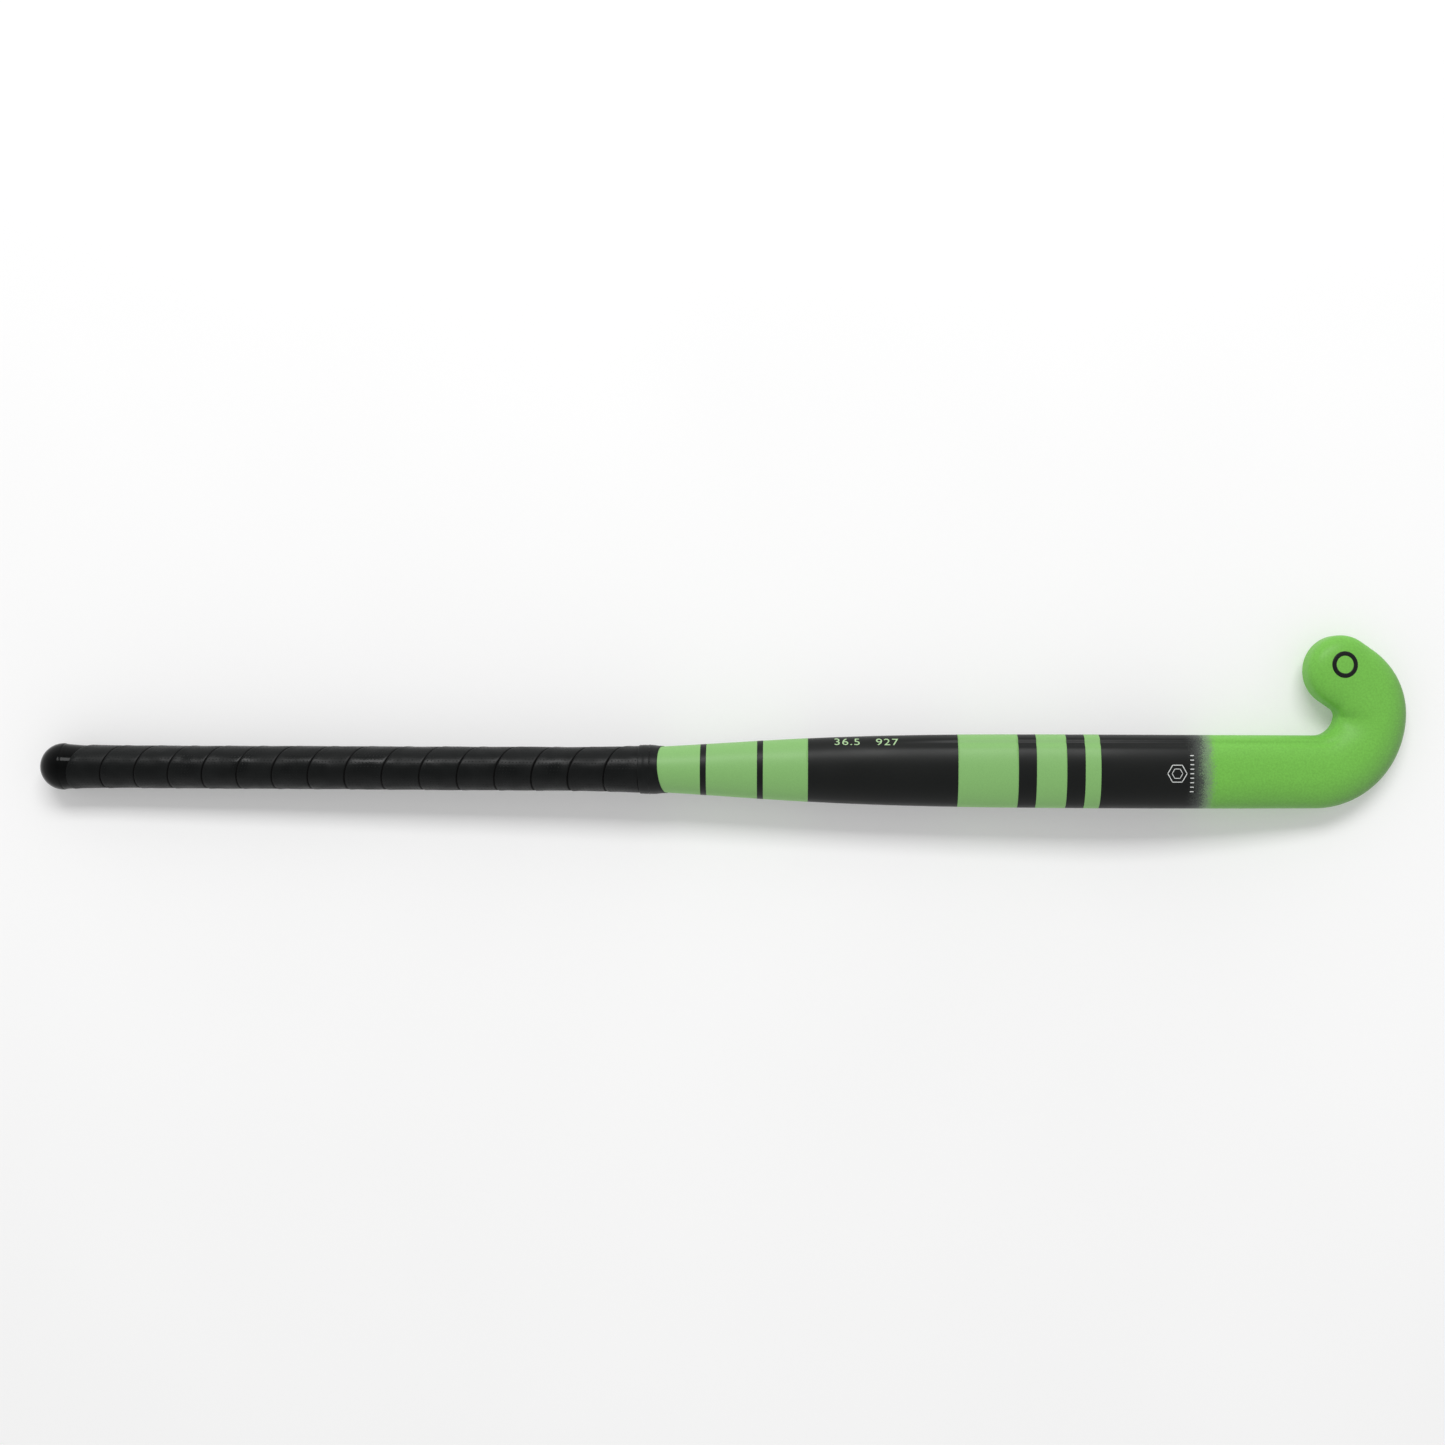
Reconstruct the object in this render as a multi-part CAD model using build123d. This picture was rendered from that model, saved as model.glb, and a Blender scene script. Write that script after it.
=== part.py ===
from build123d import *
import os
from math import acos, asin, atan2, cos, degrees, exp, hypot, pi, radians, sin, tan

# Adult 36.5 inch composite field hockey stick, lying face down on a floor.
# Millimetres. The origin is the tip of the butt cap, on the handle's axis. +X runs from
# the butt end to the head, +Y towards the toe, and +Z is up, towards the rounded back.

LENGTH = 927.0            # 36.5 inches, butt cap to the outer edge of the head
SHAFT_WIDTH = 49.5        # passes the 51 mm rule ring
HEAD_HALF_WIDTH = 24.2
HANDLE_START_WIDTH = 26.3
HANDLE_TAPER = 0.0024     # growth of the bare handle's width per millimetre of length
HANDLE_END = 360.0        # from here the round handle widens into the flat-faced shaft
WIDENING_LENGTH = 148.6
WIDENING_POWER = 2.03

FLOOR = -15.26            # height of the floor that the stick lies on
BOW_TOP = FLOOR + 24.0    # largest gap under the face, the rule limit is 25 mm
BOW_X = 717.0             # where the gap is largest, 210 mm from the end of the head
BOW_RADIUS = 650.0
BUTT_REST = (16.0, FLOOR + 2.6)    # the bare handle's underside above the cap's rim
HEAD_REST = (LENGTH - 3.5, FLOOR - 0.2)   # the line of the playing face meets the floor

SIDE_HEIGHT = 8.5         # playing face to the widest level of the shaft
BACK_HEIGHT = 14.5        # widest level to the crown of the back
HEAD_BACK_HEIGHT = 13.0
FACE_CORNER_POWER = 7.0   # superellipse power of the lower half: a flat face, tight corners
BACK_POWER = 2.2
FACE_TRIM = 0.5           # stock left below the playing face and planed off
HANDLE_CLEAR = -0.3       # the round handle stays this far above the line of the face

HOOK_START = 862.5        # plan position where the centreline leaves the shaft's axis
HOOK_BENDS = ((39.3, 81.6), (29.8, 65.0))   # radius and turn in degrees: heel, toe
TOE_RUN = 10.4            # straight length from the toe bend to the toe's round end
TOE_CLOSING = (20, 40, 56, 70, 81)          # degrees round the end of the toe

WALL = 2.2                # outer laminate
TUBE_WALL = 1.3           # each of the two inner laminates
CORE_START = 848.0        # the hollow shaft ends and the foam-filled head begins
DAMPER_END = 120.0
PLUG_END = 45.0
PLUG_POCKET = (6.0, 25.0)  # radius and depth
LAMINATE_START = 8.0

TAPE = 1.2                # grip wrap
TAPE_START = 17.0
TAPE_END = 412.0
FLARE = 1.13              # extra radius over the cap's skirt, dying away along the handle
FLARE_LENGTH = 13.0
BAND = 0.45               # finishing tape over the end of the wrap
BAND_START = 405.5
BAND_END = 421.5

CAP_DEPTH = 15.6
CAP_RADIUS = 15.8
CAP_RIM_RADIUS = 15.3
SKIRT_RADIUS = 14.3
SKIRT_END = 36.0
SKIRT_LIP = 0.35

HALF_POINTS = 14
STATION_SPACING = 28.5
BEND_STEPS = 6
WRAP_SECTIONS = 20
BIG = 400.0


def mix(low, high, share):
    return low + (high - low) * share


def tangent_angle(rest):
    """Angle of the straight line from a rest point that touches the bow's arc."""
    run, drop = abs(BOW_X - rest[0]), BOW_RADIUS - BOW_TOP + rest[1]
    return atan2(run, drop) - acos(BOW_RADIUS / hypot(run, drop))


HANDLE_ANGLE = tangent_angle(BUTT_REST)
HEAD_ANGLE = tangent_angle(HEAD_REST)
BOW_START = BOW_X - BOW_RADIUS * sin(HANDLE_ANGLE)
BOW_END = BOW_X + BOW_RADIUS * sin(HEAD_ANGLE)


def face_slope(x):
    """Angle of the face profile: rising along the handle, falling along the head."""
    if x < BOW_START:
        return HANDLE_ANGLE
    if x > BOW_END:
        return -HEAD_ANGLE
    return asin((BOW_X - x) / BOW_RADIUS)


def face_height(x):
    if x < BOW_START:
        return BUTT_REST[1] + (x - BUTT_REST[0]) * tan(HANDLE_ANGLE)
    if x > BOW_END:
        return HEAD_REST[1] + (HEAD_REST[0] - x) * tan(HEAD_ANGLE)
    return BOW_TOP - BOW_RADIUS * (1 - cos(face_slope(x)))


def widening(x):
    """0 on the round handle, 1 on the full-width shaft."""
    if x < HANDLE_END:
        return 0.0
    return 1 - exp(-(((x - HANDLE_END) / WIDENING_LENGTH) ** WIDENING_POWER))


def handle_radius(x):
    return (HANDLE_START_WIDTH + HANDLE_TAPER * x) / 2


def shaft_stations():
    """Evenly spaced stations (x, y, heading, share of the hook, round-off) of the shaft."""
    count = round((HOOK_START - LAMINATE_START) / STATION_SPACING)
    spacing = (HOOK_START - LAMINATE_START) / count
    return [(LAMINATE_START + spacing * i, 0.0, 0.0, 0.0, 1.0) for i in range(count + 1)]


def hook_stations(inset):
    """Two bends, the short straight run in the toe, then the toe's round end."""
    x, y, heading, stations = HOOK_START, 0.0, 0.0, []
    for bend, (radius, turn) in enumerate(HOOK_BENDS):
        for step in range(1, BEND_STEPS + 1):
            turned = heading + radians(turn) * step / BEND_STEPS
            along_x = x + radius * (sin(turned) - sin(heading))
            along_y = y + radius * (cos(heading) - cos(turned))
            stations.append((along_x, along_y, turned, (bend + step / BEND_STEPS) / 2, 1.0))
        x, y, heading = along_x, along_y, turned
    x, y = x + TOE_RUN * cos(heading), y + TOE_RUN * sin(heading)
    for closing in (0, *TOE_CLOSING):
        beyond = (HEAD_HALF_WIDTH - inset) * sin(radians(closing))
        end_x, end_y = x + beyond * cos(heading), y + beyond * sin(heading)
        stations.append((end_x, end_y, heading, 1.0, cos(radians(closing))))
    return stations


def section_wire(station, inset):
    """D-shaped section: superellipse quarters, nearly flat below and domed above."""
    x, y, heading, hook_share, round_off = station
    share = widening(x)
    trim = mix(HANDLE_CLEAR, FACE_TRIM, share)
    side = mix(handle_radius(x), SIDE_HEIGHT, share)
    half = mix(mix(handle_radius(x), SHAFT_WIDTH / 2, share), HEAD_HALF_WIDTH, hook_share)
    back = mix(handle_radius(x), mix(BACK_HEIGHT, HEAD_BACK_HEIGHT, hook_share), share)
    half, back = (half - inset) * round_off, (back - inset) * round_off
    upper = (mix(2, BACK_POWER, share), back)
    lower = (mix(2, FACE_CORNER_POWER, share), side + trim - inset)
    slope = face_slope(x)
    up = Vector(-sin(slope), 0, cos(slope))
    forward = Vector(cos(slope) * cos(heading), sin(heading), sin(slope) * cos(heading))
    sideways = up.cross(forward).normalized()
    widest = Vector(x, y, face_height(x)) + up * side
    halves = []
    for direction, (power, height) in ((1, upper), (-1, lower)):
        points = []
        for i in range(HALF_POINTS + 1):
            run, rise = round(cos(pi * i / HALF_POINTS), 9), round(sin(pi * i / HALF_POINTS), 9)
            reach = (abs(run) ** power + rise**power) ** (-1 / power)
            across, above = half * direction * run * reach, height * direction * rise * reach
            points.append(widest + sideways * across + up * above)
        even = [i / HALF_POINTS for i in range(HALF_POINTS + 1)]
        climb = up * (pi * height * direction)
        halves.append(Edge.make_spline(points, tangents=[climb, -climb], parameters=even, scale=False))
    return Wire(halves)


def below_face(inset):
    """Everything under the line of the playing face, moved up by the inset."""
    start, end = (-50.0, face_height(-50.0)), (1000.0, face_height(1000.0))
    bow_start, bow_end = (BOW_START, face_height(BOW_START)), (BOW_END, face_height(BOW_END))
    outline = [
        Line((start[0], -BIG), start),
        Line(start, bow_start),
        ThreePointArc(bow_start, (BOW_X, BOW_TOP), bow_end),
        Line(bow_end, end),
        Line(end, (end[0], -BIG)),
        Line((end[0], -BIG), (start[0], -BIG)),
    ]
    return Pos(0, 0, inset) * extrude(Plane.XZ * make_face(outline), BIG, both=True)


def stick_body(inset):
    """The whole bare stick, its surface moved inwards by the inset."""
    stations = shaft_stations() + hook_stations(inset)
    body = Solid.make_loft([section_wire(station, inset) for station in stations])
    return body - below_face(inset)


def on_handle_axis(shape):
    """Tilt a shape made along X onto the axis of the bare handle."""
    height = face_height(0) + handle_radius(0) / cos(HANDLE_ANGLE)
    return Location((0, 0, height), (0, -degrees(HANDLE_ANGLE), 0)) * shape


def handle_slab(start, end):
    """Block square to the handle's axis, between two distances from the butt end."""
    return on_handle_axis(Pos((start + end) / 2, 0, 0) * Box(end - start, BIG, BIG))


def upright_slab(start, end):
    return Pos((start + end) / 2, 0, 0) * Box(end - start, BIG, BIG)


def turned_about_axis(points):
    """Revolve an outline of (distance, radius) points about the handle's axis."""
    outline = Polyline(*points, close=True)
    return on_handle_axis(revolve(Plane.XZ * make_face(outline), Axis.X))


def butt_cap(bare_stick):
    """Domed cap with a rim and a thin skirt that tapers away under the wrap."""
    dome = [
        Spline((0, 0), (CAP_DEPTH, CAP_RADIUS), tangents=((0, 1.25), (1.1, 0))),
        Line((CAP_DEPTH, CAP_RADIUS), (TAPE_START, CAP_RIM_RADIUS)),
        Line((TAPE_START, CAP_RIM_RADIUS), (TAPE_START, 0)),
        Line((TAPE_START, 0), (0, 0)),
    ]
    skirt = [
        (TAPE_START, 0),
        (TAPE_START, SKIRT_RADIUS),
        (SKIRT_END, handle_radius(SKIRT_END) + SKIRT_LIP),
        (SKIRT_END, 0),
    ]
    solid = on_handle_axis(revolve(Plane.XZ * make_face(dome), Axis.X))
    solid = solid + turned_about_axis(skirt)
    inside = bare_stick & handle_slab(-BIG / 2, SKIRT_END + 10)
    return solid - inside


def wrapping(start, end, sections, thickness):
    """Solid round the bare handle between two distances, thickness(x) proud of it."""
    wires = []
    for i in range(sections + 1):
        x = mix(start, end, i / sections)
        wires.append(section_wire((x, 0.0, 0.0, 0.0, 1.0), -thickness(x)))
    return Solid.make_loft(wires)


def grip_tape(bare_stick, cap):
    """Sleeve of wrapped tape, flared at the butt end where it runs over the skirt."""
    def thickness(x):
        return TAPE + FLARE * exp((TAPE_START - x) / FLARE_LENGTH)

    return wrapping(TAPE_START, TAPE_END, WRAP_SECTIONS, thickness) - bare_stick - cap


def finishing_tape(bare_stick, grip):
    """Thin band that holds the end of the wrap and steps down onto the shaft."""
    def thickness(x):
        return TAPE + BAND

    return wrapping(BAND_START, BAND_END, 2, thickness) - bare_stick - grip


def butt_plug(cavity):
    """Rubber plug in the butt end, with a blind pocket in its inner side."""
    radius, depth = PLUG_POCKET
    pocket = on_handle_axis(Pos(PLUG_END, 0, 0) * Rot(0, 90, 0) * Cylinder(radius, 2 * depth))
    return (cavity & upright_slab(-BIG, PLUG_END)) - pocket


def inner_tube(cavity, tube_bore, side):
    """One of two side-by-side laminate tubes; their touching walls form the web."""
    outer_half = Pos(0, side * BIG, 0) * Box(4 * LENGTH, 2 * BIG, BIG)
    bore_half = Pos(0, side * (BIG + TUBE_WALL), 0) * Box(4 * LENGTH, 2 * BIG, BIG)
    tube = cavity & upright_slab(DAMPER_END, CORE_START) & outer_half
    return tube - (tube_bore & bore_half)


def main():
    bare_stick = stick_body(0)
    cavity = stick_body(WALL)
    tube_bore = stick_body(WALL + TUBE_WALL)
    cap = butt_cap(bare_stick)
    grip = grip_tape(bare_stick, cap)
    parts = {
        "laminate_shell": bare_stick - cavity,
        "toe_side_tube": inner_tube(cavity, tube_bore, 1),
        "heel_side_tube": inner_tube(cavity, tube_bore, -1),
        "head_core": cavity & upright_slab(CORE_START, CORE_START + BIG),
        "handle_damper": cavity & upright_slab(PLUG_END, DAMPER_END),
        "butt_plug": butt_plug(cavity),
        "butt_cap": cap,
        "grip_tape": grip,
        "finishing_tape": finishing_tape(bare_stick, grip),
    }
    os.makedirs("parts", exist_ok=True)
    for name, part in parts.items():
        export_step(part, f"parts/{name}.step")



if __name__ == "__main__":
    main()
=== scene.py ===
import math

import bmesh
import bpy
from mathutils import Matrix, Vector
from mathutils.bvhtree import BVHTree


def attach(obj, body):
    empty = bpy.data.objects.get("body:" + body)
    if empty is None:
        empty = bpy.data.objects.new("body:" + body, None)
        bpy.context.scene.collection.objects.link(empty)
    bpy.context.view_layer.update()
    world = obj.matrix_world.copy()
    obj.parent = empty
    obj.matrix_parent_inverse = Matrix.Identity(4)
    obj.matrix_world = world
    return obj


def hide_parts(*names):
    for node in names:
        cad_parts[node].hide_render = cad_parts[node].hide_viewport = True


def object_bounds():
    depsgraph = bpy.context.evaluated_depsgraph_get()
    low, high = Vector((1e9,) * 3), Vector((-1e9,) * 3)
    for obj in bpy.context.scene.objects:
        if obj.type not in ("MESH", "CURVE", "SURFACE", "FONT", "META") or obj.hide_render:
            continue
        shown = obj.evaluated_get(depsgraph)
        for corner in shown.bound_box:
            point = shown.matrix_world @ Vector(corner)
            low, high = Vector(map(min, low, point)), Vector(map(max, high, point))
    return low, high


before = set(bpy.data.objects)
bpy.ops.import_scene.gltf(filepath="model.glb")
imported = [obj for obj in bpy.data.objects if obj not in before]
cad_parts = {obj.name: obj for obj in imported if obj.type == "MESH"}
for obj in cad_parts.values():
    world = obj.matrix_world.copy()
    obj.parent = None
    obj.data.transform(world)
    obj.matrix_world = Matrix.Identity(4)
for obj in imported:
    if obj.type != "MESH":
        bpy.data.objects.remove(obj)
cad_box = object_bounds()

# Lengths are millimetres in the object's own frame; MM turns them into metres.
MM = 0.001
FLOOR = cad_box[0][2] / MM

# The same driving dimensions as the design model.
LENGTH = 927.0
SHAFT_WIDTH = 49.5
HEAD_HALF_WIDTH = 24.2
HANDLE_START_WIDTH = 26.3
HANDLE_TAPER = 0.0024
HANDLE_END = 360.0
WIDENING_LENGTH = 148.6
WIDENING_POWER = 2.03
REST_LEVEL = -15.26
BOW_TOP = REST_LEVEL + 24.0
BOW_X = 717.0
BOW_RADIUS = 650.0
BUTT_REST = (16.0, REST_LEVEL + 2.6)
HEAD_REST = (LENGTH - 3.5, REST_LEVEL - 0.2)
SIDE_HEIGHT = 8.5
BACK_HEIGHT = 14.5
HEAD_BACK_HEIGHT = 13.0
FACE_CORNER_POWER = 7.0
BACK_POWER = 2.2
FACE_TRIM = 0.5
HANDLE_CLEAR = -0.3
HOOK_START = 862.5
HOOK_BENDS = ((39.3, 81.6), (29.8, 65.0))
TOE_RUN = 10.4
LAMINATE_START = 8.0
TAPE = 1.2
TAPE_START = 17.0
FLARE = 1.13
FLARE_LENGTH = 13.0

# The wrap: tape wound by hand, so its pitch wanders and its turns bow towards the butt.
WRAP_PITCH = 24.09
WRAP_FIRST = 20.7
WRAP_WANDER = 3.1
WRAP_LEAN = 7.0
WRAP_TURNS = 17.6
WRAP_END = 414.0
BAND_START = 406.5
BAND_END = 419.6

# The glossy butt cap with the sleeve that runs under the wrap's first turn.
CAP_DEPTH = 15.6
CAP_RADIUS = 15.8
SLEEVE_END = 43.0

# The toe's back is broader and flatter than the shaft's, with a valley at the crook. Places
# are shares of the hook's centreline, and the depth is a share of the back's height.
TOE_BACK_POWER = 3.0
TOE_BROADENS = (0.4, 0.85)
VALLEY_AT = 0.47
VALLEY_SPREAD = 0.16
VALLEY_DEPTH = 0.2

# The ledge along the toe side of the shaft's back, by distance from the edge.
LEDGE_AT = 5.8
LEDGE_SPREAD = 1.7
LEDGE_DEPTH = 1.15
SHOULDER_AT = 2.6
SHOULDER_SPREAD = 1.2
SHOULDER_RISE = 0.3
LEDGE_GROWS = (545, 640)      # along the shaft
LEDGE_DIES = (0.0, 0.32)      # along the hook

# Printed films: name, start and end along the shaft, and how far they stand proud.
FILM_PROUD = 0.06
OVERPRINT_PROUD = 0.10
FILM_SHARE = 0.8              # thickness of a film, as a share of its proud height
TOE_WALL = -0.80              # how far round the side walls a film reaches, in radians
HEEL_WALL = math.pi + 0.80
FIELD = (418.0, 520.0)
FIELD_RINGS = (("print_ring_a", 448.0, 452.0), ("print_ring_b", 486.0, 490.0))
SHAFT_BANDS = (
    ("print_band_a", 620.0, 660.0), ("print_band_b", 672.0, 692.0), ("print_band_c", 704.0, 714.0),
)

# Small generic marks, in plan.
RING_CENTRE = (881.0, 72.5)
RING_INNER, RING_OUTER = 6.0, 9.0
BADGE_CENTRE = (764.7, -1.0)
HEXAGONS = ((6.5, 0.55), (3.6, 0.45))      # radius and line width
TICK_START, TICK_END, TICK_WIDTH, TICK_PITCH = 773.5, 776.0, 0.7, 3.0
TEXT_START, TEXT_END = 537.2, 579.8
TEXT_BASE, TEXT_HEIGHT = 17.0, 4.3

# The studio, in metres and watts, and the camera over the stick.
KEY_REACH = 4.0
KEY_TILT = math.radians(38)
KEY_SIZE = (3.0, 1.1)
KEY_POWER = 90.0
SKY = ((0.0, 0.85), (0.3, 0.75), (0.7, 0.45), (1.0, 0.25))      # height and grey
SKY_STRENGTH = 1.15
FLOOR_REACH = 6.0
CAMERA_AT = (0.4622, 0.0317, 1.42)
CAMERA_ROLL = math.radians(0.25)
VIEW_WIDTH = 0.981
SENSOR_WIDTH = 36.0


def mix(low, high, share):
    return low + (high - low) * share


def smooth(low, high, value):
    t = min(1.0, max(0.0, (value - low) / (high - low)))
    return t * t * (3 - 2 * t)


# ---------------------------------------------------------------- the stick's surface


def tangent_angle(rest):
    run, drop = abs(BOW_X - rest[0]), BOW_RADIUS - BOW_TOP + rest[1]
    return math.atan2(run, drop) - math.acos(BOW_RADIUS / math.hypot(run, drop))


HANDLE_ANGLE = tangent_angle(BUTT_REST)
HEAD_ANGLE = tangent_angle(HEAD_REST)
BOW_START = BOW_X - BOW_RADIUS * math.sin(HANDLE_ANGLE)
BOW_END = BOW_X + BOW_RADIUS * math.sin(HEAD_ANGLE)


def face_slope(x):
    if x < BOW_START:
        return HANDLE_ANGLE
    if x > BOW_END:
        return -HEAD_ANGLE
    return math.asin((BOW_X - x) / BOW_RADIUS)


def face_height(x):
    if x < BOW_START:
        return BUTT_REST[1] + (x - BUTT_REST[0]) * math.tan(HANDLE_ANGLE)
    if x > BOW_END:
        return HEAD_REST[1] + (HEAD_REST[0] - x) * math.tan(HEAD_ANGLE)
    return BOW_TOP - BOW_RADIUS * (1 - math.cos(face_slope(x)))


def widening(x):
    if x < HANDLE_END:
        return 0.0
    return 1 - math.exp(-(((x - HANDLE_END) / WIDENING_LENGTH) ** WIDENING_POWER))


def handle_radius(x):
    return (HANDLE_START_WIDTH + HANDLE_TAPER * x) / 2


def centre_at(s):
    """Plan position, heading and share of the hook at a distance along the centreline."""
    if s <= HOOK_START:
        return s, 0.0, 0.0, 0.0
    x, y, heading, left = HOOK_START, 0.0, 0.0, s - HOOK_START
    for bend, (radius, turn) in enumerate(HOOK_BENDS):
        turned = min(left / radius, math.radians(turn))
        share = (bend + turned / math.radians(turn)) / 2
        x += radius * (math.sin(heading + turned) - math.sin(heading))
        y += radius * (math.cos(heading) - math.cos(heading + turned))
        heading += turned
        left -= radius * turned
        if left <= 1e-9:
            return x, y, heading, share
    return x + left * math.cos(heading), y + left * math.sin(heading), heading, 1.0


CENTRE_LENGTH = HOOK_START + TOE_RUN + sum(r * math.radians(t) for r, t in HOOK_BENDS)


def half_width(x, hook=0.0):
    half = mix(handle_radius(x), SHAFT_WIDTH / 2, widening(x))
    return mix(half, HEAD_HALF_WIDTH, hook)


def section(x, hook, angle, proud=0.0):
    """Across and above, from the widest level's centre, of the section at an angle."""
    share = widening(x)
    half = half_width(x, hook) + proud
    side = mix(handle_radius(x), SIDE_HEIGHT, share)
    run, rise = math.cos(angle), math.sin(angle)
    if rise >= 0:
        power = mix(mix(2, BACK_POWER, share), TOE_BACK_POWER, smooth(*TOE_BROADENS, hook))
        height = mix(handle_radius(x), mix(BACK_HEIGHT, HEAD_BACK_HEIGHT, hook), share) + proud
    else:
        power = mix(2, FACE_CORNER_POWER, share)
        height = side + mix(HANDLE_CLEAR, FACE_TRIM, share) + proud
    reach = (abs(run) ** power + abs(rise) ** power) ** (-1 / power)
    across, above = half * run * reach, height * rise * reach
    if rise > 0:
        valley = math.exp(-(((hook - VALLEY_AT) / VALLEY_SPREAD) ** 2)) if hook > 0 else 0.0
        above *= 1 - VALLEY_DEPTH * valley * smooth(-0.1, 0.9, across / half)
        inward = half - across
        strength = smooth(*LEDGE_GROWS, x) * (1 - smooth(*LEDGE_DIES, hook))
        ledge = LEDGE_DEPTH * math.exp(-(((inward - LEDGE_AT) / LEDGE_SPREAD) ** 2))
        shoulder = SHOULDER_RISE * math.exp(-(((inward - SHOULDER_AT) / SHOULDER_SPREAD) ** 2))
        above += strength * (shoulder - ledge)
    return across, max(above, -side - proud), side


def surface(s, angle, proud=0.0, turn=0.0):
    """Point on the stick in metres; turn swings the section about the toe's centre."""
    x, y, heading, hook = centre_at(s)
    across, above, side = section(x, hook, angle, proud)
    slope = face_slope(x)
    up = Vector((-math.sin(slope), 0, math.cos(slope)))
    forward = Vector((
        math.cos(slope) * math.cos(heading),
        math.sin(heading),
        math.sin(slope) * math.cos(heading),
    ))
    sideways = up.cross(forward).normalized()
    base = Vector((x, y, face_height(x))) + up * (side + above)
    point = base + sideways * across * math.cos(turn) + forward * abs(across) * math.sin(turn)
    return point * MM


# ------------------------------------------------------------------------ mesh helpers


def add_object(name, mesh, material):
    obj = bpy.data.objects.new(name, mesh)
    bpy.context.scene.collection.objects.link(obj)
    mesh.materials.append(material)
    for polygon in mesh.polygons:
        polygon.use_smooth = True
    return obj


def grid_mesh(name, rows, closed_ring=True, caps=(False, False)):
    """Quads through rows of points; closed_ring joins each row's last point to its first."""
    mesh = bpy.data.meshes.new(name)
    width = len(rows[0])
    faces = []
    columns = width if closed_ring else width - 1
    for i in range(len(rows) - 1):
        for j in range(columns):
            k = (j + 1) % width
            faces.append((i * width + j, i * width + k, (i + 1) * width + k, (i + 1) * width + j))
    if caps[0]:
        faces.append(tuple(reversed(range(width))))
    if caps[1]:
        faces.append(tuple((len(rows) - 1) * width + j for j in range(width)))
    mesh.from_pydata([p for row in rows for p in row], [], faces)
    mesh.update()
    return mesh


def tidy_mesh(mesh, distance=1e-6):
    """Weld touching points and turn every face outwards."""
    work = bmesh.new()
    work.from_mesh(mesh)
    bmesh.ops.remove_doubles(work, verts=work.verts, dist=distance)
    bmesh.ops.recalc_face_normals(work, faces=work.faces)
    work.to_mesh(mesh)
    work.free()


def thicken(obj, thickness):
    """Give a film its thickness, inwards, and apply it."""
    modifier = obj.modifiers.new("film", "SOLIDIFY")
    modifier.thickness = thickness * MM
    modifier.offset = -1.0
    bpy.context.view_layer.update()
    evaluated = obj.evaluated_get(bpy.context.evaluated_depsgraph_get())
    mesh = bpy.data.meshes.new_from_object(evaluated)
    obj.modifiers.clear()
    obj.data = mesh


# --------------------------------------------------------------------------- materials


def new_material(name):
    material = bpy.data.materials.new(name)
    material.use_nodes = True
    return material, material.node_tree, material.node_tree.nodes["Principled BSDF"]


def node(tree, kind, **settings):
    made = tree.nodes.new(kind)
    for key, value in settings.items():
        if key in made.inputs:
            made.inputs[key].default_value = value
        else:
            setattr(made, key, value)
    return made


def srgb(red, green, blue):
    """Linear colour, with alpha, from 0 to 255 display values."""
    def linear(value):
        value /= 255
        return value / 12.92 if value <= 0.04045 else ((value + 0.055) / 1.055) ** 2.4
    return (linear(red), linear(green), linear(blue), 1.0)


def coordinates(tree):
    return node(tree, "ShaderNodeTexCoord").outputs["Object"]


def noise(tree, vector, scale, detail=2.0, roughness=0.5):
    texture = node(tree, "ShaderNodeTexNoise", Scale=scale, Detail=detail, Roughness=roughness)
    tree.links.new(vector, texture.inputs["Vector"])
    return texture.outputs["Fac"]


def ramp(tree, value, stops):
    made = node(tree, "ShaderNodeValToRGB")
    elements = made.color_ramp.elements
    while len(elements) < len(stops):
        elements.new(0.5)
    for element, (position, colour) in zip(elements, stops):
        element.position = position
        element.color = colour
    tree.links.new(value, made.inputs["Fac"])
    return made.outputs["Color"]


def grey(value):
    return (value, value, value, 1.0)


def bump(tree, shader, height, distance, strength=1.0, below=None):
    made = node(tree, "ShaderNodeBump", Strength=strength, Distance=distance)
    tree.links.new(height, made.inputs["Height"])
    if below is not None:
        tree.links.new(below, made.inputs["Normal"])
    tree.links.new(made.outputs["Normal"], shader.inputs["Normal"])
    return made.outputs["Normal"]


def math_node(tree, operation, first, second=None, third=None):
    made = node(tree, "ShaderNodeMath", operation=operation)
    for index, value in enumerate((first, second, third)):
        if value is None:
            continue
        if isinstance(value, (int, float)):
            made.inputs[index].default_value = value
        else:
            tree.links.new(value, made.inputs[index])
    return made.outputs[0]


def multiplied(tree, first, second, factor=1.0):
    made = node(tree, "ShaderNodeMix", data_type="RGBA", blend_type="MULTIPLY")
    made.inputs["Factor"].default_value = factor
    tree.links.new(first, made.inputs["A"])
    tree.links.new(second, made.inputs["B"])
    return made.outputs["Result"]


def speckled(tree, vector, base, spread):
    """A colour with the fine grain of sprayed paint."""
    grain = noise(tree, vector, 1400.0, 1.0)
    dark = tuple(channel * (1 - spread) for channel in base[:3]) + (1.0,)
    light = tuple(min(1.0, channel * (1 + spread)) for channel in base[:3]) + (1.0,)
    return ramp(tree, grain, [(0.3, dark), (0.7, light)])


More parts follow.
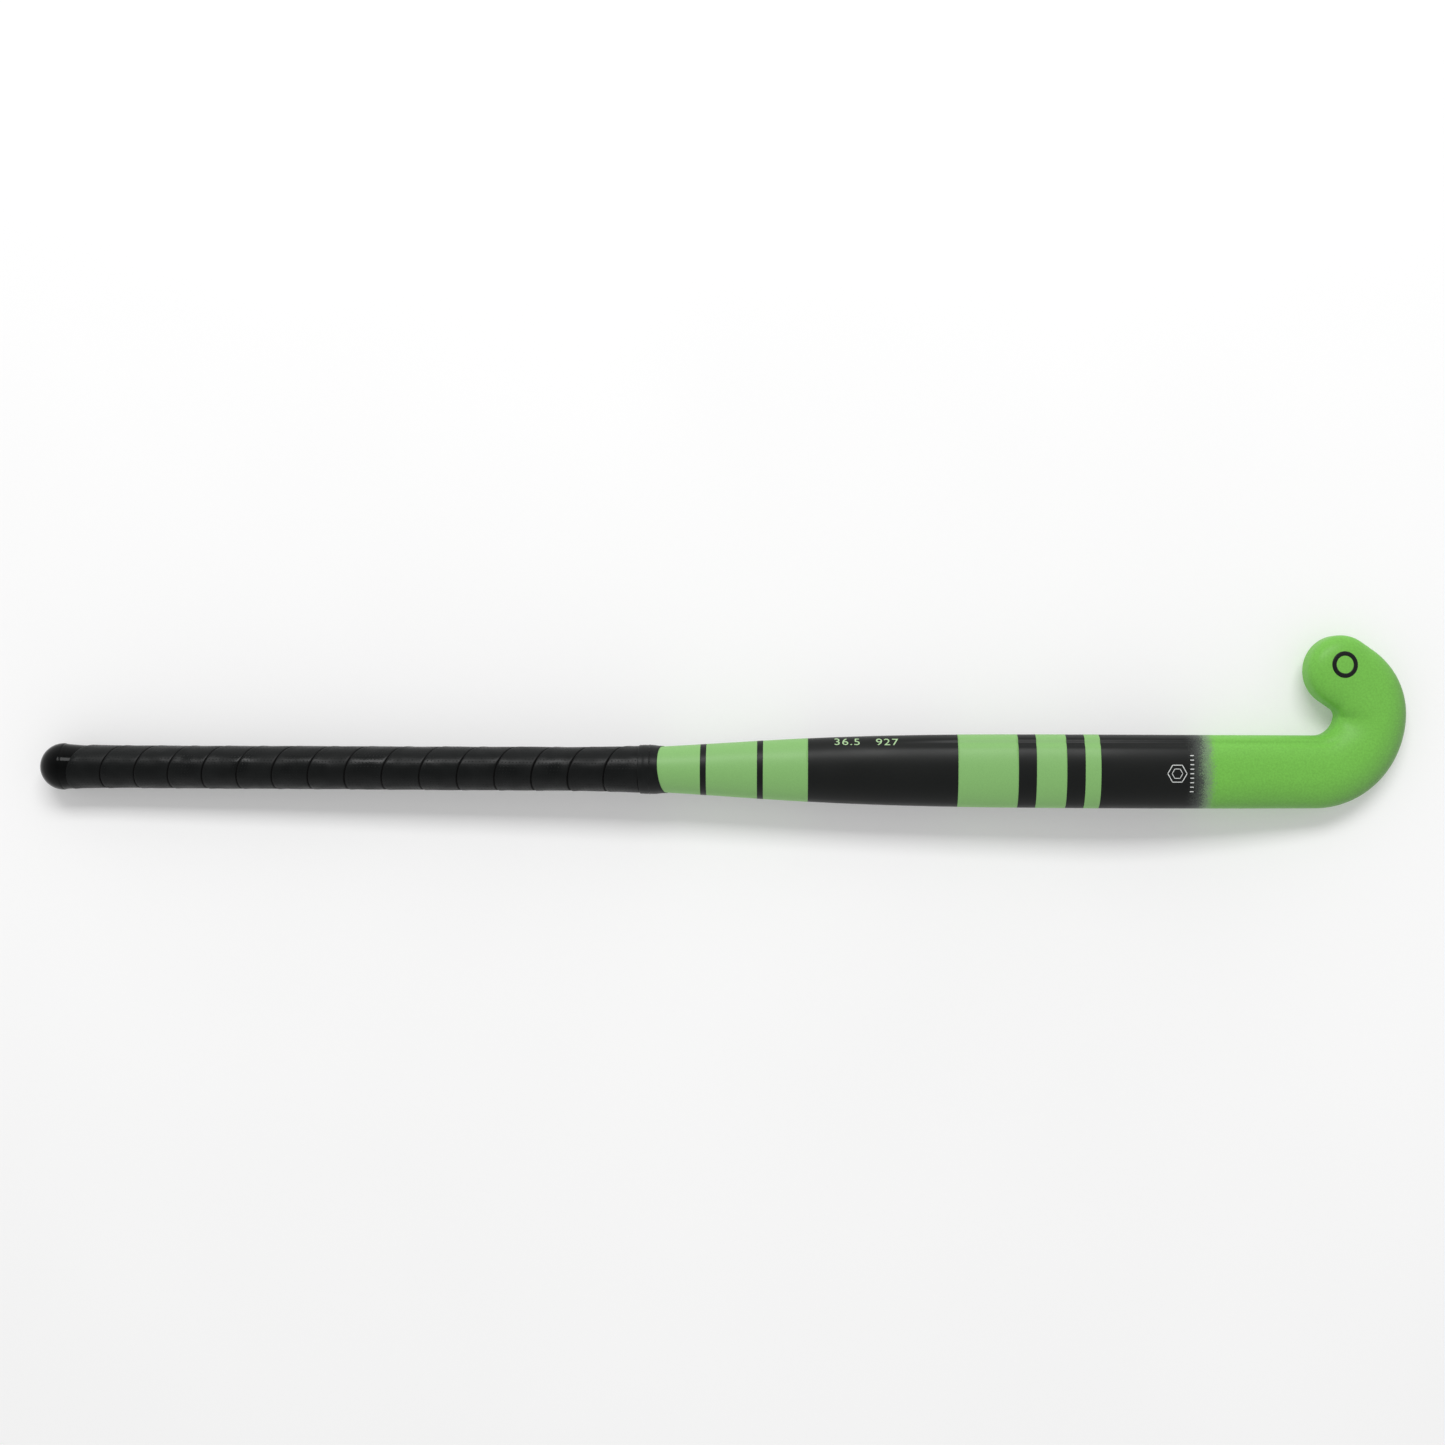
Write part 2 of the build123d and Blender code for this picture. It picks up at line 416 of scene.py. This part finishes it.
def lacquer(name, build_colour, roughness, coat, specular=0.17):
    """Sprayed satin finish with fine orange peel, shared by paint and printed films."""
    material, tree, shader = new_material(name)
    vector = coordinates(tree)
    tree.links.new(build_colour(tree, vector), shader.inputs["Base Color"])
    shader.inputs["Specular IOR Level"].default_value = specular
    shader.inputs["Coat Weight"].default_value = coat
    shader.inputs["Coat Roughness"].default_value = 0.3
    patches = noise(tree, vector, 35.0, 3.0)
    low, high = grey(roughness - 0.04), grey(roughness + 0.05)
    tree.links.new(ramp(tree, patches, [(0.3, low), (0.7, high)]), shader.inputs["Roughness"])
    peel = bump(tree, shader, noise(tree, vector, 420.0, 2.0), 0.00002, 0.55)
    bump(tree, shader, noise(tree, vector, 2400.0, 1.0), 0.000008, 0.5, below=peel)
    return material


BLACK = srgb(19, 21, 20)
HEAD_GREEN = srgb(116, 187, 77)
PRINT_GREEN = srgb(131, 182, 108)
# Painted shade: a dull green for the head's wall that faces away from the light, and the direction
# that wall faces.
WALL_SHADE_GREEN = srgb(80, 100, 72)
SHADED_FACING = (0.86, -0.42, -0.1)
FADE_START, FADE_END = 772.5, 792.0
OVERSPRAY = srgb(66, 71, 67)
THIN_GREEN = srgb(116, 142, 108)


def shaft_colour(tree, vector):
    """Black, airbrushed into green over a soft, grainy edge near the head.

    Painted shade, speckled with the spray's grain, dulls the outer wall of the head where the
    surface turns away from the light."""
    split = node(tree, "ShaderNodeSeparateXYZ")
    tree.links.new(vector, split.inputs[0])
    cloud = noise(tree, vector, 60.0, 2.0)
    spray = noise(tree, vector, 1900.0, 1.0)
    shift = math_node(tree, "MULTIPLY_ADD", cloud, 0.006, -0.003)
    shift = math_node(tree, "MULTIPLY_ADD", spray, 0.016, shift)
    along = math_node(tree, "ADD", split.outputs["X"], shift)
    along = math_node(tree, "SUBTRACT", along, FADE_START * MM + 0.008)
    share = math_node(tree, "DIVIDE", along, (FADE_END - FADE_START) * MM)
    mist = ramp(tree, share, [
        (0.0, BLACK), (0.38, OVERSPRAY), (0.66, THIN_GREEN), (1.0, HEAD_GREEN),
    ])
    mist.node.color_ramp.interpolation = "EASE"
    green = ramp(tree, share, [(0.9, grey(0)), (1.0, grey(1))])
    # Painted shade: where the head's surface faces away from the light, its green is mixed towards
    # a dull green.
    normal = node(tree, "ShaderNodeNewGeometry").outputs["Normal"]
    facing = node(tree, "ShaderNodeVectorMath", operation="DOT_PRODUCT")
    facing.inputs[1].default_value = SHADED_FACING
    tree.links.new(normal, facing.inputs[0])
    wall_shade = ramp(tree, facing.outputs["Value"], [(0.06, grey(0.0)), (0.58, grey(1.0))])
    wall_shade = math_node(tree, "MULTIPLY", math_node(tree, "MULTIPLY", wall_shade, green), spray)
    shaded = node(tree, "ShaderNodeMix", data_type="RGBA")
    tree.links.new(wall_shade, shaded.inputs["Factor"])
    tree.links.new(mist, shaded.inputs["A"])
    shaded.inputs["B"].default_value = WALL_SHADE_GREEN
    grain = ramp(tree, noise(tree, vector, 800.0, 2.0), [(0.3, grey(0.92)), (0.7, grey(1.08))])
    return multiplied(tree, shaded.outputs["Result"], grain)


def plain_colour(colour, spread):
    return lambda tree, vector: speckled(tree, vector, colour, spread)


def wrap_material():
    """Soft synthetic leather: pores in rows along the strip, grain, rubbed patches, and painted
    shade in the crease between turns.
    """
    material, tree, shader = new_material("grip_wrap")
    strip = node(tree, "ShaderNodeAttribute", attribute_name="strip").outputs["Vector"]
    vector = coordinates(tree)
    pores = node(tree, "ShaderNodeTexVoronoi", Scale=430.0, Randomness=0.12)
    tree.links.new(strip, pores.inputs["Vector"])
    pits = ramp(tree, pores.outputs["Distance"], [(0.08, grey(0.0)), (0.2, grey(1.0))])
    across = node(tree, "ShaderNodeSeparateXYZ")
    tree.links.new(strip, across.inputs[0])
    edge = math_node(tree, "DIVIDE", across.outputs["X"], WRAP_PITCH * MM)
    # Painted shade: the colour goes black in the crease where each turn laps over the one before.
    crease_shade = ramp(tree, edge, [
        (0.006, grey(0.0)), (0.02, grey(1.0)), (0.945, grey(1.0)), (0.965, grey(0.0)),
    ])
    cloud = noise(tree, vector, 70.0, 3.0)
    tone = ramp(tree, cloud, [(0.25, srgb(11, 13, 13)), (0.75, srgb(19, 21, 21))])
    pitted = multiplied(tree, tone, pits, 0.45)
    tree.links.new(multiplied(tree, pitted, crease_shade), shader.inputs["Base Color"])
    shader.inputs["Specular IOR Level"].default_value = 0.17
    rubbed = ramp(tree, noise(tree, vector, 55.0, 2.0), [(0.34, grey(0.22)), (0.66, grey(0.44))])
    open_face = math_node(tree, "MULTIPLY", pits, crease_shade)
    dull = math_node(tree, "MULTIPLY_ADD", open_face, -0.4, 0.4)
    tree.links.new(math_node(tree, "ADD", rubbed, dull), shader.inputs["Roughness"])
    soft = bump(tree, shader, noise(tree, vector, 62.0, 1.5), 0.0012, 0.9)
    grain = bump(tree, shader, noise(tree, vector, 1500.0, 3.0), 0.00004, 0.7, below=soft)
    bump(tree, shader, pits, 0.00012, 0.6, below=grain)
    return material


def cap_material():
    """Glossy black plastic with fine scuffs."""
    material, tree, shader = new_material("cap_plastic")
    vector = coordinates(tree)
    cloud = noise(tree, vector, 200.0, 2.0)
    tone = ramp(tree, cloud, [(0.3, srgb(4, 5, 5)), (0.7, srgb(9, 10, 10))])
    tree.links.new(tone, shader.inputs["Base Color"])
    rubs = noise(tree, vector, 260.0, 4.0, 0.65)
    scuffs = ramp(tree, rubs, [(0.45, grey(0.09)), (0.75, grey(0.2))])
    tree.links.new(scuffs, shader.inputs["Roughness"])
    shader.inputs["Specular IOR Level"].default_value = 0.1
    bump(tree, shader, noise(tree, vector, 120.0, 2.0), 0.00004, 0.4)
    return material


def tape_material():
    """Stretched vinyl with faint lines along its length."""
    material, tree, shader = new_material("band_tape")
    vector = coordinates(tree)
    cloud = noise(tree, vector, 150.0, 3.0)
    tone = ramp(tree, cloud, [(0.3, srgb(14, 16, 16)), (0.7, srgb(21, 23, 23))])
    tree.links.new(tone, shader.inputs["Base Color"])
    shader.inputs["Roughness"].default_value = 0.34
    shader.inputs["Specular IOR Level"].default_value = 0.17
    stretch = node(tree, "ShaderNodeMapping")
    stretch.inputs["Scale"].default_value = (900.0, 40.0, 40.0)
    tree.links.new(vector, stretch.inputs["Vector"])
    bump(tree, shader, noise(tree, stretch.outputs["Vector"], 1.0, 2.0), 0.00003, 0.6)
    return material


def inner_material(name, low, high, scale, roughness):
    """Foam, rubber or bare laminate inside the stick: mottled tone with a matching bump."""
    material, tree, shader = new_material(name)
    vector = coordinates(tree)
    texture = noise(tree, vector, scale, 4.0)
    tree.links.new(ramp(tree, texture, [(0.3, low), (0.7, high)]), shader.inputs["Base Color"])
    shader.inputs["Roughness"].default_value = roughness
    bump(tree, shader, texture, 0.0002, 0.6)
    return material


# ------------------------------------------------------------------------- the pieces


def rows_along(start, end, step):
    """Even stations from start up to, and without, end."""
    count = max(1, round((end - start) / step))
    return [start + (end - start) * i / count for i in range(count)]


def make_shell(material):
    """The whole painted laminate: shaft, heel and the toe's round end."""
    ring = 128
    angles = [2 * math.pi * j / ring for j in range(ring)]
    stations = rows_along(LAMINATE_START, 400, 8) + rows_along(400, BOW_X, 2.5)
    stations += rows_along(BOW_X, HOOK_START, 2.0) + rows_along(HOOK_START, CENTRE_LENGTH, 1.2)
    rows = [[surface(s, a) for a in angles] for s in stations]
    turns = 24
    for i in range(turns + 1):
        turn = math.radians(90) * i / turns
        rows.append([surface(CENTRE_LENGTH, a, turn=turn) for a in angles])
    mesh = grid_mesh("stick_shell", rows, caps=(True, False))
    tidy_mesh(mesh, 2e-6)
    return add_object("stick_shell", mesh, material)


def axis_point(x, radius, angle):
    """Point on a ring round the handle's axis, in metres."""
    up = Vector((-math.sin(HANDLE_ANGLE), 0, math.cos(HANDLE_ANGLE)))
    along = Vector((math.cos(HANDLE_ANGLE), 0, math.sin(HANDLE_ANGLE)))
    across = Vector((0, 1, 0))
    return (along * x + across * radius * math.cos(angle) + up * radius * math.sin(angle)) * MM


def wrap_proud(x):
    return TAPE + FLARE * math.exp((TAPE_START - x) / FLARE_LENGTH)


def make_cap(material):
    """Glossy dome, a fine groove at its rim, and the sleeve that carries the first turn."""
    around = 96
    profile = []
    for i in range(1, 29):
        turn = math.radians(90) * i / 28
        profile.append((CAP_DEPTH * (1 - math.cos(turn)), CAP_RADIUS * math.sin(turn)))
    profile += [(CAP_DEPTH + 0.9, CAP_RADIUS - 0.05), (CAP_DEPTH + 1.2, CAP_RADIUS - 0.3)]
    profile += [(CAP_DEPTH + 1.5, CAP_RADIUS - 0.42), (CAP_DEPTH + 1.9, CAP_RADIUS - 0.28)]
    for x in (18.2, 20, 22, 24, 27, 30, 34, 38, SLEEVE_END):
        profile.append((x, handle_radius(x) + wrap_proud(x) - 0.05 - 0.025 * (x - TAPE_START)))
    profile.append((SLEEVE_END, handle_radius(SLEEVE_END) + 0.1))
    ring = [2 * math.pi * j / around for j in range(around)]
    rows = [[axis_point(x, radius, a) for a in ring] for x, radius in profile]
    mesh = grid_mesh("glossy_cap", rows, caps=(True, True))
    tidy_mesh(mesh, 1e-7)
    return add_object("glossy_cap", mesh, material)


def seam_at(turn):
    """Distance of the wrap's edge from the butt after a number of turns."""
    return WRAP_FIRST + WRAP_PITCH * turn - WRAP_WANDER * math.cos(math.pi * (turn - 6) / 8)


# Across one turn, as shares of the pitch: height of the strip above the sleeve it lies on.
STRIP_PROFILE = (
    (0.0, -0.75), (0.0, 0.0), (0.008, 0.12), (0.025, 0.17), (0.07, 0.16), (0.12, 0.11),
    (0.18, 0.04), (0.26, 0.01), (0.38, 0.02), (0.5, 0.03), (0.62, 0.02), (0.74, 0.0),
    (0.84, -0.03), (0.92, -0.06), (0.95, -0.12), (0.968, -0.40), (0.98, -0.70), (1.06, -0.75),
    (1.12, -0.78),
)


def make_wrap(material):
    """One long strip wound round the handle, each turn lapping over the one before it."""
    around = 72
    rows, strip = [], []
    for i in range(round((WRAP_TURNS + 0.5) * around) + 1):
        turn = i / around - 0.5
        angle = math.pi / 2 - 2 * math.pi * turn
        row = []
        for share, height in STRIP_PROFILE:
            x = seam_at(turn + share) + WRAP_LEAN * (1 - math.sin(angle))
            x = min(max(x, TAPE_START - 0.4), WRAP_END)
            sag = 0.07 * math.sin(3.1 * turn + 4 * share) + 0.05 * math.sin(7.3 * turn)
            proud = wrap_proud(x) + height + sag * smooth(0, 0.2, share)
            row.append(surface(x, angle, proud=proud))
            strip.append((share * WRAP_PITCH * MM, turn * 2 * math.pi * 14.5 * MM, 0.0))
        rows.append(row)
    mesh = grid_mesh("grip_wrap", rows, closed_ring=False)
    attribute = mesh.attributes.new("strip", "FLOAT_VECTOR", "POINT")
    attribute.data.foreach_set("vector", [value for mark in strip for value in mark])
    work = bmesh.new()
    work.from_mesh(mesh)
    bmesh.ops.dissolve_degenerate(work, dist=1e-6, edges=work.edges)
    work.to_mesh(mesh)
    work.free()
    obj = add_object("grip_wrap", mesh, material)
    if outward(mesh) < 0:
        mesh.flip_normals()
    thicken(obj, 0.45)
    return obj


def outward(mesh):
    """Sign of the mean of the face normals against the direction away from the middle."""
    middle = sum((v.co for v in mesh.vertices), Vector()) / len(mesh.vertices)
    total = 0.0
    for polygon in mesh.polygons:
        away = polygon.center - middle
        away.x = 0
        total += away.dot(polygon.normal) * polygon.area
    return total


def make_band(material):
    """Finishing tape: two turns of thin tape over the end of the wrap and onto the shaft."""
    around = 128
    profile = [
        (BAND_START, 0.0), (BAND_START, 0.44), (BAND_START + 0.4, 0.50), (BAND_START + 3.5, 0.46),
        (BAND_START + 3.7, 0.34), (WRAP_END - 1.5, 0.30), (WRAP_END, 0.16), (WRAP_END + 1.4, -0.16),
        (WRAP_END + 3.0, -0.50), (BAND_END - 0.3, -0.78), (BAND_END, -0.86), (BAND_END, -1.3),
    ]
    rows = []
    for x, gain in profile:
        row = []
        for j in range(around):
            angle = 2 * math.pi * j / around
            lean = 4.0 * (1 - math.sin(angle)) - 1.45 * math.cos(angle)
            leaned = x + lean * smooth(BAND_START - 6, BAND_END, x)
            row.append(surface(leaned, angle, proud=TAPE + gain))
        rows.append(row)
    obj = add_object("finishing_band", grid_mesh("finishing_band", rows), material)
    if outward(obj.data) < 0:
        obj.data.flip_normals()
    thicken(obj, 0.15)
    return obj


def film(name, start, end, proud, material, columns=24, rows=90):
    """Plain band printed square across the shaft's back and side walls."""
    grid = []
    for i in range(rows + 1):
        angle = mix(TOE_WALL, HEEL_WALL, i / rows)
        stations = [mix(start, end, j / columns) for j in range(columns + 1)]
        grid.append([surface(x, angle, proud) for x in stations])
    mesh = grid_mesh(name, grid, closed_ring=False)
    tidy_mesh(mesh, 1e-7)
    obj = add_object(name, mesh, material)
    if mesh.polygons[len(mesh.polygons) // 2].normal.z < 0:
        mesh.flip_normals()
    thicken(obj, proud * FILM_SHARE)
    return obj


def make_films(green, black):
    """Plain colour blocks: a green field with two black rings, then three green bands."""
    films = [film("print_field", *FIELD, FILM_PROUD, green, columns=60, rows=110)]
    films += [film(name, *ends, OVERPRINT_PROUD, black) for name, *ends in FIELD_RINGS]
    films += [film(name, *ends, FILM_PROUD, green) for name, *ends in SHAFT_BANDS]
    return films


def drape(name, outlines, shell, proud, material, cell=1.2):
    """Flat outlines, in plan, cut into small faces and laid on the shell's back."""
    tree = BVHTree.FromObject(shell, bpy.context.evaluated_depsgraph_get())
    down = Vector((0, 0, -1))
    work = bmesh.new()
    for outline in outlines:
        corners = [work.verts.new((x * MM, y * MM, 0)) for x, y in outline]
        work.faces.new(corners)
    bmesh.ops.remove_doubles(work, verts=work.verts, dist=1e-7)
    bmesh.ops.triangulate(work, faces=work.faces)
    for _ in range(6):
        long_edges = [e for e in work.edges if e.calc_length() > cell * MM]
        if not long_edges:
            break
        bmesh.ops.subdivide_edges(work, edges=long_edges, cuts=1)
        bmesh.ops.triangulate(work, faces=work.faces)
    for vertex in work.verts:
        hit, normal, _, _ = tree.ray_cast(Vector((vertex.co.x, vertex.co.y, 1.0)), down)
        vertex.co = hit + normal * proud * MM
    mesh = bpy.data.meshes.new(name)
    work.to_mesh(mesh)
    work.free()
    if mesh.polygons[0].normal.z < 0:
        mesh.flip_normals()
    obj = add_object(name, mesh, material)
    thicken(obj, proud * FILM_SHARE)
    return obj


def bar(start, end, width):
    """Rectangle round the line between two plan points."""
    run = Vector(end) - Vector(start)
    side = Vector((-run.y, run.x)).normalized() * width / 2
    a, b = Vector(start), Vector(end)
    return [tuple(a + side), tuple(a - side), tuple(b - side), tuple(b + side)]


def circle_point(centre, radius, turn):
    return (centre[0] + radius * math.cos(turn), centre[1] + radius * math.sin(turn))


def make_toe_mark(shell, black):
    """Plain printed ring on the toe."""
    corners = 48
    turns = [2 * math.pi * i / corners for i in range(corners + 1)]
    inner = [circle_point(RING_CENTRE, RING_INNER, turn) for turn in turns]
    outer = [circle_point(RING_CENTRE, RING_OUTER, turn) for turn in turns]
    outlines = [[inner[i], outer[i], outer[i + 1], inner[i + 1]] for i in range(corners)]
    return drape("toe_mark", outlines, shell, 0.08, black)


def make_badge(shell, white):
    """Two plain nested hexagons and a row of even ticks beside them, in light ink."""
    strokes = []
    for radius, width in HEXAGONS:
        rim = [circle_point(BADGE_CENTRE, radius, math.pi / 3 * i) for i in range(6)]
        strokes += [bar(rim[i], rim[(i + 1) % 6], width) for i in range(6)]
    for i in range(-4, 5):
        y = BADGE_CENTRE[1] + TICK_PITCH * i
        strokes.append(bar((TICK_START, y), (TICK_END, y), TICK_WIDTH))
    return drape("badge", strokes, shell, 0.06, white, cell=2.0)


def make_size_text(shell, ink):
    """The stick's length, in inches and millimetres, as plain numerals."""
    curve = bpy.data.curves.new("size_text", "FONT")
    curve.body = "36.5   927"
    curve.size = 6.4
    curve.space_character = 1.1
    temporary = bpy.data.objects.new("size_text_flat", curve)
    bpy.context.scene.collection.objects.link(temporary)
    bpy.context.view_layer.update()
    evaluated = temporary.evaluated_get(bpy.context.evaluated_depsgraph_get())
    flat = bpy.data.meshes.new_from_object(evaluated)
    outlines = [[tuple(flat.vertices[i].co[:2]) for i in face.vertices] for face in flat.polygons]
    bpy.data.objects.remove(temporary)
    xs = [x for outline in outlines for x, _ in outline]
    ys = [y for outline in outlines for _, y in outline]
    left, bottom = min(xs), min(ys)
    stretch = (TEXT_END - TEXT_START) / (max(xs) - left)
    squash = TEXT_HEIGHT / (max(ys) - bottom)
    placed = [
        [(TEXT_START + (x - left) * stretch, TEXT_BASE + (y - bottom) * squash) for x, y in outline]
        for outline in outlines
    ]
    return drape("size_text", placed, shell, 0.06, ink, cell=1.5)


# --------------------------------------------------------------------- light and camera


def area_light(name, location, target, size, power):
    data = bpy.data.lights.new(name, "AREA")
    data.shape = "RECTANGLE"
    data.size, data.size_y = size
    data.energy = power
    obj = bpy.data.objects.new(name, data)
    obj.location = location
    obj.rotation_euler = (Vector(target) - Vector(location)).to_track_quat("-Z", "Y").to_euler()
    bpy.context.scene.collection.objects.link(obj)


def make_studio():
    """One large soft light beyond the toe side, under a pale sky that darkens overhead."""
    middle = (LENGTH / 2 * MM, 0.03, 0.0)
    side, height = KEY_REACH * math.sin(KEY_TILT), KEY_REACH * math.cos(KEY_TILT)
    area_light("key", (middle[0], middle[1] + side, height), middle, KEY_SIZE, KEY_POWER)
    world = bpy.data.worlds.new("studio")
    world.use_nodes = True
    bpy.context.scene.world = world
    tree = world.node_tree
    direction = node(tree, "ShaderNodeTexCoord").outputs["Generated"]
    split = node(tree, "ShaderNodeSeparateXYZ")
    tree.links.new(direction, split.inputs[0])
    sky = ramp(tree, split.outputs["Z"], [(height, grey(tone)) for height, tone in SKY])
    tree.links.new(sky, tree.nodes["Background"].inputs["Color"])
    tree.nodes["Background"].inputs["Strength"].default_value = SKY_STRENGTH
    bpy.context.scene.view_settings.view_transform = "Standard"


def make_floor():
    """Pale floor at the stick's lowest point, a little self-lit so that it stays white."""
    material, tree, shader = new_material("floor")
    vector = coordinates(tree)
    tone = ramp(tree, noise(tree, vector, 3.0, 2.0), [(0.3, grey(0.84)), (0.7, grey(0.86))])
    tree.links.new(tone, shader.inputs["Base Color"])
    shader.inputs["Roughness"].default_value = 0.9
    shader.inputs["Specular IOR Level"].default_value = 0.0
    shader.inputs["Emission Color"].default_value = grey(1.0)
    shader.inputs["Emission Strength"].default_value = 0.15
    signs = ((-1, -1), (1, -1), (1, 1), (-1, 1))
    corners = [(x * FLOOR_REACH, y * FLOOR_REACH, FLOOR * MM) for x, y in signs]
    mesh = bpy.data.meshes.new("floor")
    mesh.from_pydata(corners, [], [(0, 1, 2, 3)])
    floor = bpy.data.objects.new("floor", mesh)
    mesh.materials.append(material)
    bpy.context.scene.collection.objects.link(floor)


def make_camera():
    """Straight down, the handle at the left and the toe up, turned a quarter of a degree."""
    data = bpy.data.cameras.new("camera")
    data.sensor_width = SENSOR_WIDTH
    data.lens = SENSOR_WIDTH * CAMERA_AT[2] / VIEW_WIDTH
    camera = bpy.data.objects.new("camera", data)
    camera.location = CAMERA_AT
    camera.rotation_euler = (0, 0, CAMERA_ROLL)
    bpy.context.scene.collection.objects.link(camera)
    bpy.context.scene.camera = camera


# ------------------------------------------------------------------------------- build

paint = lacquer("outer_laminate", shaft_colour, 0.42, 0.1)
green_print = lacquer("green_print", plain_colour(PRINT_GREEN, 0.04), 0.5, 0.1, 0.3)
black_print = lacquer("black_print", plain_colour(BLACK, 0.12), 0.42, 0.1)
pale_print = lacquer("pale_print", plain_colour(srgb(172, 206, 156), 0.03), 0.5, 0.1)
light_print = lacquer("light_print", plain_colour(srgb(215, 218, 216), 0.03), 0.5, 0.1)

shell = make_shell(paint)
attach(shell, "root")
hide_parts("laminate_shell")

wrap = make_wrap(wrap_material())
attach(wrap, "root")
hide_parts("grip_tape")

cap = make_cap(cap_material())
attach(cap, "root")
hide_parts("butt_cap")

band = make_band(tape_material())
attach(band, "root")
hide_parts("finishing_tape")

printed = make_films(green_print, black_print)
printed.append(make_toe_mark(shell, black_print))
printed.append(make_badge(shell, light_print))
printed.append(make_size_text(shell, pale_print))
for piece in printed:
    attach(piece, "root")

# The inner pieces keep their CAD meshes: tone from dark to light, grain and roughness.
tube = inner_material("inner_laminate", srgb(26, 26, 27), srgb(48, 48, 50), 600.0, 0.5)
damper = inner_material("damper_foam", srgb(120, 120, 124), srgb(150, 150, 154), 900.0, 0.95)
core = inner_material("core_foam", srgb(214, 196, 150), srgb(232, 216, 172), 900.0, 0.95)
cad_materials = {
    "butt_plug": inner_material("plug_rubber", srgb(30, 30, 30), srgb(44, 44, 44), 300.0, 0.8),
    "handle_damper": damper,
    "head_core": core,
    "toe_side_tube": tube,
    "heel_side_tube": tube,
}
for name, material in cad_materials.items():
    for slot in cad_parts[name].material_slots:
        slot.material = material

make_studio()
make_floor()
make_camera()
